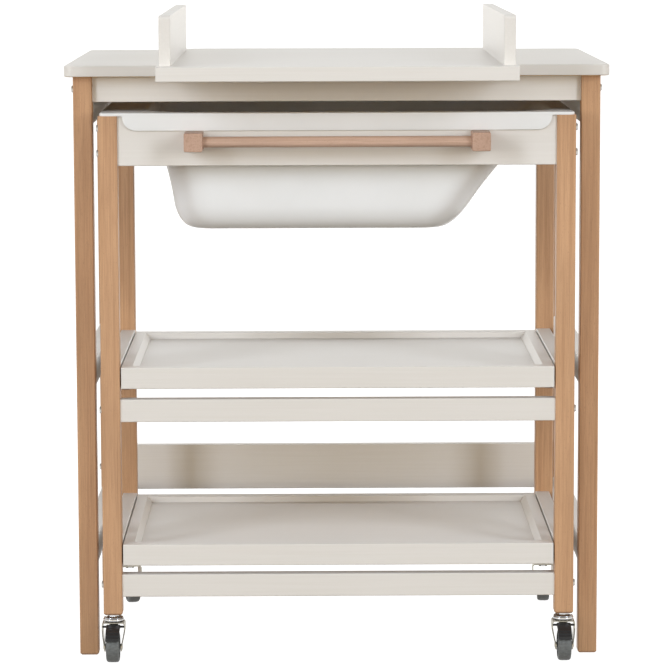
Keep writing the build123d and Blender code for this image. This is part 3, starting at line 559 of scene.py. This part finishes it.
def plated_steel(name, colour, roughness):
    """Bright plated steel: fine drawn scratches vary its gloss, and cloudy patches its colour."""
    material, tree, shader, place = start_material(name)
    scratch = stretched_noise(tree, place, STEEL_SCRATCH_CELL, detail=3)
    patch = stretched_noise(tree, place, (STEEL_PATCH_SIZE,) * 3, detail=2)
    patchy_colour(tree, shader, patch, colour, STEEL_SHADE)
    vary_roughness(tree, shader, scratch, *roughness)
    shader.inputs["Metallic"].default_value = 1
    relief(tree, shader, [(scratch, *STEEL_SCRATCH_RELIEF)])
    return material


def turned(name, profile, centre, axis, segments, closed=False):
    """A profile of (radius, height) turned about an axis: p = centre + h axis + r (u cos a + v sin a)."""
    axis = Vector(axis).normalized()
    u = axis.orthogonal().normalized()
    v = axis.cross(u)
    a = np.linspace(0, 2 * np.pi, segments, endpoint=False)
    spin = np.cos(a)[:, None] * np.array(u) + np.sin(a)[:, None] * np.array(v)
    rows = [np.array(centre) + h * np.array(axis) + r * spin for r, h in profile]
    return surface(name, rows, closed)


def capped(radius, bottom, top):
    """The profile of a plain rod with closed ends."""
    return [(0, bottom), (radius, bottom), (radius, top), (0, top)]


caster_places = ("front_left", "front_right", "rear_left", "rear_right")
joints = {joint["name"]: joint for joint in frame["joints"]}
stem_meshes = []
for place in caster_places:
    x, y, _ = joints[f"swivel_{place}"]["pos_m"]
    head = [(r * MM, z * MM) for r, z in HEAD_PROFILE]
    stem_meshes += [
        turned("head", head, (x, y, 0), UPRIGHT, HEAD_SEGMENTS),
        turned("nut", capped(NUT_RADIUS, NUT_BOTTOM, NUT_TOP), (x, y, 0), UPRIGHT, NUT_SIDES),
        turned("pin", capped(PIN_RADIUS, NUT_TOP, PIN_TOP), (x, y, 0), UPRIGHT, PIN_SEGMENTS)]
closed_piece("caster_heads", stem_meshes, plated_steel("chrome_head", CHROME_COLOUR, CHROME_ROUGHNESS),
             "trolley", HEAD_SMOOTH_ANGLE, "caster_stems")

# Caster forks
# Pressed from sheet steel and plated: a crown under the head, shoulders that turn down into two
# cheeks, and an axle riveted through the cheeks' round ends.
FORK_COLOUR = (0.40, 0.375, 0.315, 1)
FORK_ROUGHNESS = (0.20, 0.38)
FORK_SHEET = 1.8 * MM
FORK_COLUMNS = 11
CROWN_TOP = 61.2 * MM
CROWN_HALF_DEPTH = 14 * MM
CROWN_OVERRUN = 1 * MM
CROWN_STEPS = 8
SHOULDER_HALF_WIDTH = 18.5 * MM
SHOULDER_HEIGHT = 12 * MM
SHOULDER_ROUND = 5 * MM
SHOULDER_STEPS = 9
CHEEK_TAPER = 1.3
CHEEK_STEPS = 12
BOSS_RADIUS = 8 * MM
BOSS_STEPS = 9
BOSS_ARC_STEPS = 24
AXLE_HALF_WIDTH = 14 * MM
AXLE_RADIUS = 4 * MM
AXLE_HEAD_RADIUS = 5.5 * MM
AXLE_HEAD_HEIGHT = 1.2 * MM
AXLE_HEAD_FLAT = 3.85 * MM
AXLE_HEAD_BEVEL = 0.72 * MM
AXLE_SEGMENTS = 32
FORK_SMOOTH_ANGLE = 40
shoulder_bottom = CROWN_TOP - SHOULDER_HEIGHT


def cheek_depth(z, trail, axle_z):
    """Front and back edge of a cheek at height z: a round boss and its two tangents to the crown.

    A tangent touches the boss where its angle differs from the crown corner's by arccos (radius / reach)."""
    boss = np.array([-trail, axle_z])
    found = []
    for sign in (-1, 1):
        crown = np.array([sign * CROWN_HALF_DEPTH, shoulder_bottom])
        reach = crown - boss
        lean = np.arctan2(reach[1], reach[0])
        touch = lean - sign * np.arccos(BOSS_RADIUS / np.hypot(*reach))
        arc = np.linspace(-np.pi / 2, touch if sign > 0 else touch - 2 * np.pi, BOSS_ARC_STEPS)
        chain_y = np.append(boss[0] + BOSS_RADIUS * np.cos(arc), [crown[0], crown[0]])
        chain_z = np.append(boss[1] + BOSS_RADIUS * np.sin(arc), [crown[1], CROWN_TOP + CROWN_OVERRUN])
        found.append(np.interp(z, chain_z, chain_y))
    return found


def fork_bend(axle_z):
    """Half of the fork's outer face seen from the front, from the crown's middle to a cheek's end.

    The shoulder is a quarter round, x = half - round (1 - sin a), z = top - round (1 - cos a), and
    the cheek draws in by share ** taper on its way down to the axle."""
    turn = np.linspace(0, np.pi / 2, SHOULDER_STEPS)
    crown_x = np.linspace(0, SHOULDER_HALF_WIDTH - SHOULDER_ROUND, CROWN_STEPS)[:-1]
    shoulder_x = SHOULDER_HALF_WIDTH - SHOULDER_ROUND * (1 - np.sin(turn))
    shoulder_z = CROWN_TOP - SHOULDER_ROUND * (1 - np.cos(turn))
    cheek_z = np.linspace(shoulder_bottom, axle_z, CHEEK_STEPS)
    share = (shoulder_bottom - cheek_z) / (shoulder_bottom - axle_z)
    cheek_x = SHOULDER_HALF_WIDTH + (AXLE_HALF_WIDTH - SHOULDER_HALF_WIDTH) * share ** CHEEK_TAPER
    boss_z = axle_z - BOSS_RADIUS * np.cos(np.linspace(np.pi / 2, 0, BOSS_STEPS)[1:])
    x = np.concatenate([crown_x, shoulder_x, cheek_x, np.full(len(boss_z), AXLE_HALF_WIDTH)])
    z = np.concatenate([np.full(len(crown_x), CROWN_TOP), shoulder_z, cheek_z, boss_z])
    return x, z


def fork_sheet(trail, axle_z):
    """The bent sheet as a closed tube of rows, each across the sheet from front to back and round again.

    The inner face lies one sheet inside the outer one along the bend's normal, (dz, -dx) / |(dx, dz)|."""
    x, z = fork_bend(axle_z)
    x = np.concatenate([-x[:0:-1], x])
    z = np.concatenate([z[:0:-1], z])
    front, back = cheek_depth(z, trail, axle_z)
    slope = np.gradient(np.stack([x, z], 1), axis=0)
    normal = np.stack([slope[:, 1], -slope[:, 0]], 1) / np.hypot(*slope.T)[:, None]
    y = front[:, None] + np.linspace(0, 1, FORK_COLUMNS) * (back - front)[:, None]
    outer, inner = (
        np.stack([np.broadcast_to((x + depth * normal[:, 0])[:, None], y.shape), y,
                  np.broadcast_to((z + depth * normal[:, 1])[:, None], y.shape)], -1)
        for depth in (0, FORK_SHEET))
    return closed_ends(np.concatenate([outer, inner[:, ::-1]], 1))


def turned_to(points, place):
    """Carries points drawn about the stem, wheel trailing to -Y, to a caster's place and turn."""
    x, y, _ = joints[f"swivel_{place}"]["pos_m"]
    ux, uy, _ = joints[f"wheel_spin_{place}"]["axis"]
    return np.stack([
        x + points[..., 0] * ux - points[..., 1] * uy,
        y + points[..., 0] * uy + points[..., 1] * ux,
        points[..., 2]], -1)


def axle_of(place):
    """Trail behind the stem and height of a caster's axle, and the axle's direction and centre."""
    joint = joints[f"wheel_spin_{place}"]
    x, y, _ = joints[f"swivel_{place}"]["pos_m"]
    trail = np.hypot(joint["pos_m"][0] - x, joint["pos_m"][1] - y)
    return trail, joint["pos_m"][2], joint["axis"], joint["pos_m"]


fork_steel = plated_steel("fork_plate", FORK_COLOUR, FORK_ROUGHNESS)
axle_end = AXLE_HALF_WIDTH + AXLE_HEAD_HEIGHT
axle_half = [(0, -axle_end), (AXLE_HEAD_FLAT, -axle_end), (AXLE_HEAD_RADIUS, -axle_end + AXLE_HEAD_BEVEL),
             (AXLE_HEAD_RADIUS, -AXLE_HALF_WIDTH), (AXLE_RADIUS, -AXLE_HALF_WIDTH + FORK_SHEET)]
axle_profile = axle_half + [(r, -h) for r, h in axle_half[::-1]]
for place in caster_places:
    trail, axle_z, axle_axis, axle_centre = axle_of(place)
    meshes = [surface("fork_sheet", turned_to(fork_sheet(trail, axle_z), place)),
              turned("axle", axle_profile, axle_centre, axle_axis, AXLE_SEGMENTS)]
    closed_piece(f"fork_{place}", meshes, fork_steel, f"caster_{place}", FORK_SMOOTH_ANGLE,
                 f"caster_fork_{place}")

# Caster wheels
# Cast grey rubber with a rounded tread, a dished disc on each side and a plain hub, which turns
# on the fork's axle.
RUBBER_COLOUR = (0.088, 0.094, 0.094, 1)
RUBBER_SCUFFED = (0.1496, 0.1598, 0.1598, 1)
RUBBER_ROUGHNESS = (0.42, 0.62)
RUBBER_SCUFF_CELL = (6 * MM, 1.5 * MM, 3 * MM)
RUBBER_SCUFF_PLACES = (0.35, 0.75)
RUBBER_GRIT_SIZE = 0.5 * MM
RUBBER_GRIT_RELIEF = (0.15, 0.06 * MM)
# Radius and height in millimetres of one half, from the axle's hole out to the tread
WHEEL_PROFILE = [
    (4.1, -10.5), (8.4, -10.5), (9.0, -9.9), (9.4, -8.2), (10.2, -8.0), (17.8, -8.0), (18.6, -8.3),
    (19.0, -9.8), (19.6, -10.4), (20.4, -10.5), (22.3, -10.1), (23.9, -8.8), (24.7, -6.8), (24.9, -4.5),
    (25.0, -1.2), (24.85, -0.3)]
WHEEL_SEGMENTS = 72
WHEEL_SMOOTH_ANGLE = 28


def cast_rubber():
    """Dark grey rubber, scuffed lighter in patches where the tread meets the floor."""
    material, tree, shader, place = start_material("wheel_rubber")
    scuff = stretched_noise(tree, place, RUBBER_SCUFF_CELL, detail=4)
    grit = stretched_noise(tree, place, (RUBBER_GRIT_SIZE,) * 3, detail=2)
    colour = ramp(tree, scuff, RUBBER_SCUFF_PLACES, (RUBBER_COLOUR, RUBBER_SCUFFED))
    tree.links.new(colour, shader.inputs["Base Color"])
    vary_roughness(tree, shader, scuff, *RUBBER_ROUGHNESS)
    relief(tree, shader, [(grit, *RUBBER_GRIT_RELIEF)])
    return material


rubber = cast_rubber()
half_profile = [(r * MM, h * MM) for r, h in WHEEL_PROFILE]
whole_profile = half_profile + [(r, -h) for r, h in half_profile[::-1]]
for place in caster_places:
    _, _, axle_axis, axle_centre = axle_of(place)
    wheel = turned("wheel", whole_profile, axle_centre, axle_axis, WHEEL_SEGMENTS, closed=True)
    closed_piece(f"wheel_{place}", [wheel], rubber, f"wheel_{place}", WHEEL_SMOOTH_ANGLE,
                 f"caster_wheel_{place}")

# Brake pedals
# Black moulded levers on a pin between the cheeks of the two front forks. Each curves over the
# wheel as a shoe and has grip ribs on its outer face.
PEDAL_COLOUR = (0.012, 0.012, 0.013, 1)
PEDAL_ROUGHNESS = (0.30, 0.40)
PEDAL_HALF_WIDTH = 11 * MM
PEDAL_GAP = 1 * MM
PEDAL_THICKNESS = 5 * MM
PEDAL_HUB_RADIUS = 3.4 * MM
PEDAL_HUB_REACH = 31.5 * MM
# Turns about the axle in radians, from level towards the stem
PEDAL_HUB_ANGLE = np.radians(69.5)
PEDAL_BLEND_ANGLE = np.radians(98)
PEDAL_TIP_ANGLE = np.radians(152)
PEDAL_HEEL_BACK = 0.1
PEDAL_HEEL_ROUND = 0.10
PEDAL_TIP_ROUND = 0.06
PEDAL_BLEND_STEPS = 16
PEDAL_TIP_STEPS = 60
PEDAL_END_THINNING = 0.45
PEDAL_SQUARENESS = 0.18
PEDAL_SECTION_STEPS = 28
PEDAL_RIBS = 5
PEDAL_RIB_HEIGHT = 0.55 * MM
PEDAL_RIB_FULLNESS = 0.5
PEDAL_RIB_SPAN = 0.93
PEDAL_PIN_RADIUS = 1.8 * MM
PEDAL_PIN_HALF = 17.5 * MM
PEDAL_PIN_SEGMENTS = 20
PEDAL_SMOOTH_ANGLE = 40
WHEEL_RADIUS = 25 * MM


def squared(wave):
    """A sine or cosine wave drawn out towards a square one: sign(w) |w| ** squareness."""
    return np.sign(wave) * np.abs(wave) ** PEDAL_SQUARENESS


def pedal_shoe(trail, axle_z):
    """The lever as a closed tube of rows about the axle, p = axle + reach (cos a, sin a).

    Its inner and outer reach blend by s = t t (3 - 2 t) from the hub round the pin to the shoe over
    the wheel. Its section is a squared circle that thins towards both ends, and ribs rise on its outside."""
    angle = np.concatenate([
        np.linspace(PEDAL_HUB_ANGLE - PEDAL_HEEL_BACK, PEDAL_BLEND_ANGLE, PEDAL_BLEND_STEPS),
        np.linspace(PEDAL_BLEND_ANGLE, PEDAL_TIP_ANGLE, PEDAL_TIP_STEPS)[1:]])
    t = np.clip((angle - PEDAL_HUB_ANGLE) / (PEDAL_BLEND_ANGLE - PEDAL_HUB_ANGLE), 0, 1)
    share = t * t * (3 - 2 * t)
    shoe = WHEEL_RADIUS + PEDAL_GAP
    inner = (1 - share) * (PEDAL_HUB_REACH - PEDAL_HUB_RADIUS) + share * shoe
    outer = (1 - share) * (PEDAL_HUB_REACH + PEDAL_HUB_RADIUS) + share * (
        shoe + PEDAL_THICKNESS - PEDAL_RIB_HEIGHT)
    along_shoe = np.clip((angle - PEDAL_BLEND_ANGLE) / (PEDAL_TIP_ANGLE - PEDAL_BLEND_ANGLE), 0, 1)
    wave = np.clip(np.sin(along_shoe * PEDAL_RIBS * 2 * np.pi), 0, 1)
    rib = wave ** PEDAL_RIB_FULLNESS * PEDAL_RIB_HEIGHT
    tip = np.clip((PEDAL_TIP_ANGLE - angle) / PEDAL_TIP_ROUND, 0, 1)
    heel = np.clip((angle - angle[0]) / PEDAL_HEEL_ROUND, 0, 1)
    end_round = 1 - np.sqrt(np.clip(1 - (1 - np.minimum(tip, heel)) ** 2, 0, 1))
    half = (outer - inner) / 2 * (1 - PEDAL_END_THINNING * end_round)
    v = np.linspace(0, 2 * np.pi, PEDAL_SECTION_STEPS, endpoint=False)
    box_x, box_r = squared(np.cos(v)), squared(np.sin(v))
    ribbed = np.clip(box_r, 0, 1) * (np.abs(box_x) < PEDAL_RIB_SPAN)
    reach = ((inner + outer) / 2)[:, None] + half[:, None] * box_r + rib[:, None] * ribbed
    return closed_ends(np.stack([
        np.broadcast_to(PEDAL_HALF_WIDTH * box_x, reach.shape),
        -trail + reach * np.cos(angle)[:, None],
        axle_z + reach * np.sin(angle)[:, None]], -1))


pedal_plastic = moulded_plastic("pedal_plastic", PEDAL_COLOUR, PEDAL_ROUGHNESS)
pin_profile = capped(PEDAL_PIN_RADIUS, -PEDAL_PIN_HALF, PEDAL_PIN_HALF)
for place in ("front_left", "front_right"):
    trail, axle_z, _, _ = axle_of(place)
    hinge = joints[f"brake_{place}"]
    meshes = [surface("shoe", turned_to(pedal_shoe(trail, axle_z), place)),
              turned("pin", pin_profile, hinge["pos_m"], hinge["axis"], PEDAL_PIN_SEGMENTS)]
    closed_piece(f"pedal_{place}", meshes, pedal_plastic, f"brake_{place}",
                 PEDAL_SMOOTH_ANGLE, f"brake_pedal_{place}")

# Floor, light and camera
# A white floor that shows bright but casts no light back, a warm glow in front at eye level, a high
# backdrop, a tall soft box on each side in front, a weak one behind, and the photograph's long lens.
FLOOR_COLOUR = (0.35, 0.35, 0.35, 1)
FLOOR_SHADE = (0.3325, 0.3325, 0.3325, 1)
FLOOR_ROUGHNESS = 0.9
FLOOR_GLOW = 0.95
FLOOR_CLOUD_SIZE = 800 * MM
FLOOR_REACH = 80_000 * MM
BELOW_COLOUR = (0.045, 0.028, 0.010, 1)
GLOW_COLOUR = (1, 0.87, 0.63, 1)
BACKDROP_COLOUR = (0.475, 0.474, 0.472, 1)
ABOVE_COLOUR = (0.210, 0.207, 0.200, 1)
GLOW_LEVELS = (0.47, 0.49, 0.54, 0.62)
BACKDROP_LEVELS = (0.47, 0.49, 0.70, 0.80)
BACKDROP_SIDES = (0.0, 0.3)
SURROUND_STRENGTH = 2.15
# Places and sizes of the lamps and the camera in metres, powers in watts, turns in degrees
KEY_COLOUR = (0.90, 0.98, 1.09)
KEY_SIZE = (1.1, 2.6)
KEY_LEFT_PLACE = (-3.1, -3.3, 2.1)
KEY_LEFT_POWER = 93
KEY_RIGHT_PLACE = (3.1, -3.3, 2.1)
KEY_RIGHT_POWER = 86
BACKLIGHT_COLOUR = (1.0, 0.99, 0.91)
BACKLIGHT_SIZE = (2.4, 2.4)
BACKLIGHT_PLACE = (0, 3.2, 1.2)
BACKLIGHT_POWER = 13
LAMP_TARGET = (0, 0, 0.8)
CAMERA_PLACE = (-0.0371, -5.2975, 1.1713)
CAMERA_TILT = 7.353
CAMERA_YAW = -0.373
CAMERA_ROLL = -0.177
CAMERA_REACH = 200
FOCAL_PIXELS = 3234.6
FRAME_PIXELS = 670
SENSOR = 36


def studio_floor():
    """A matt floor lit from within, so that shadows on it stay faint."""
    material, tree, shader, place = start_material("studio_floor")
    cloud = stretched_noise(tree, place, (FLOOR_CLOUD_SIZE,) * 3, detail=2)
    tree.links.new(ramp(tree, cloud, (0, 1), (FLOOR_SHADE, FLOOR_COLOUR)), shader.inputs["Base Color"])
    shader.inputs["Roughness"].default_value = FLOOR_ROUGHNESS
    shader.inputs["Emission Color"].default_value = WHITE
    shader.inputs["Emission Strength"].default_value = FLOOR_GLOW
    return material


def studio_surround():
    """Light from all round, by height and by depth: a glow in front and a backdrop behind, dark below."""
    world = bpy.data.worlds.new("studio_surround")
    world.use_nodes = True
    tree = world.node_tree
    direction = tree.nodes.new("ShaderNodeTexCoord")
    split = tree.nodes.new("ShaderNodeSeparateXYZ")
    level = tree.nodes.new("ShaderNodeMapRange")
    level.inputs["From Min"].default_value = -1
    tree.links.new(direction.outputs["Generated"], split.inputs["Vector"])
    tree.links.new(split.outputs["Z"], level.inputs["Value"])
    before = ramp(tree, level.outputs["Result"], GLOW_LEVELS,
                  (BELOW_COLOUR, GLOW_COLOUR, GLOW_COLOUR, ABOVE_COLOUR))
    behind = ramp(tree, level.outputs["Result"], BACKDROP_LEVELS,
                  (BELOW_COLOUR, BACKDROP_COLOUR, BACKDROP_COLOUR, ABOVE_COLOUR))
    backwards = ramp(tree, split.outputs["Y"], BACKDROP_SIDES, (BLACK, WHITE))
    background = tree.nodes["Background"]
    tree.links.new(blend_colours(tree, backwards, before, behind), background.inputs["Color"])
    background.inputs["Strength"].default_value = SURROUND_STRENGTH
    return world


def soft_box(name, place, size, power, colour):
    """A rectangular area lamp, wide and high as its size says, aimed at the object's middle."""
    lamp = bpy.data.lights.new(name, "AREA")
    lamp.shape = "RECTANGLE"
    lamp.size, lamp.size_y = size
    lamp.energy = power
    lamp.color = colour
    item = bpy.data.objects.new(name, lamp)
    item.location = place
    item.rotation_euler = (Vector(LAMP_TARGET) - Vector(place)).to_track_quat("-Z", "Y").to_euler()
    item.visible_camera = False
    bpy.context.scene.collection.objects.link(item)


floor_mesh = bpy.data.meshes.new("floor")
floor_corners = [(x * FLOOR_REACH, y * FLOOR_REACH, 0) for x, y in ((-1, -1), (1, -1), (1, 1), (-1, 1))]
floor_mesh.from_pydata(floor_corners, [], [(0, 1, 2, 3)])
floor_mesh.materials.append(studio_floor())
floor = bpy.data.objects.new("floor", floor_mesh)
bpy.context.scene.collection.objects.link(floor)
floor.visible_diffuse = False

bpy.context.scene.world = studio_surround()
soft_box("key_left", KEY_LEFT_PLACE, KEY_SIZE, KEY_LEFT_POWER, KEY_COLOUR)
soft_box("key_right", KEY_RIGHT_PLACE, KEY_SIZE, KEY_RIGHT_POWER, KEY_COLOUR)
soft_box("backlight", BACKLIGHT_PLACE, BACKLIGHT_SIZE, BACKLIGHT_POWER, BACKLIGHT_COLOUR)

camera = bpy.data.cameras.new("camera")
camera.sensor_width = SENSOR
camera.lens = FOCAL_PIXELS / FRAME_PIXELS * SENSOR
camera.clip_end = CAMERA_REACH
viewer = bpy.data.objects.new("camera", camera)
aim = Matrix.Rotation(np.radians(CAMERA_YAW), 3, "Z") @ Matrix.Rotation(np.radians(90 - CAMERA_TILT), 3, "X")
viewer.rotation_euler = (aim @ Matrix.Rotation(np.radians(CAMERA_ROLL), 3, "Z")).to_euler()
viewer.location = CAMERA_PLACE
bpy.context.scene.collection.objects.link(viewer)
bpy.context.scene.camera = viewer
bpy.context.scene.view_settings.view_transform = "Standard"
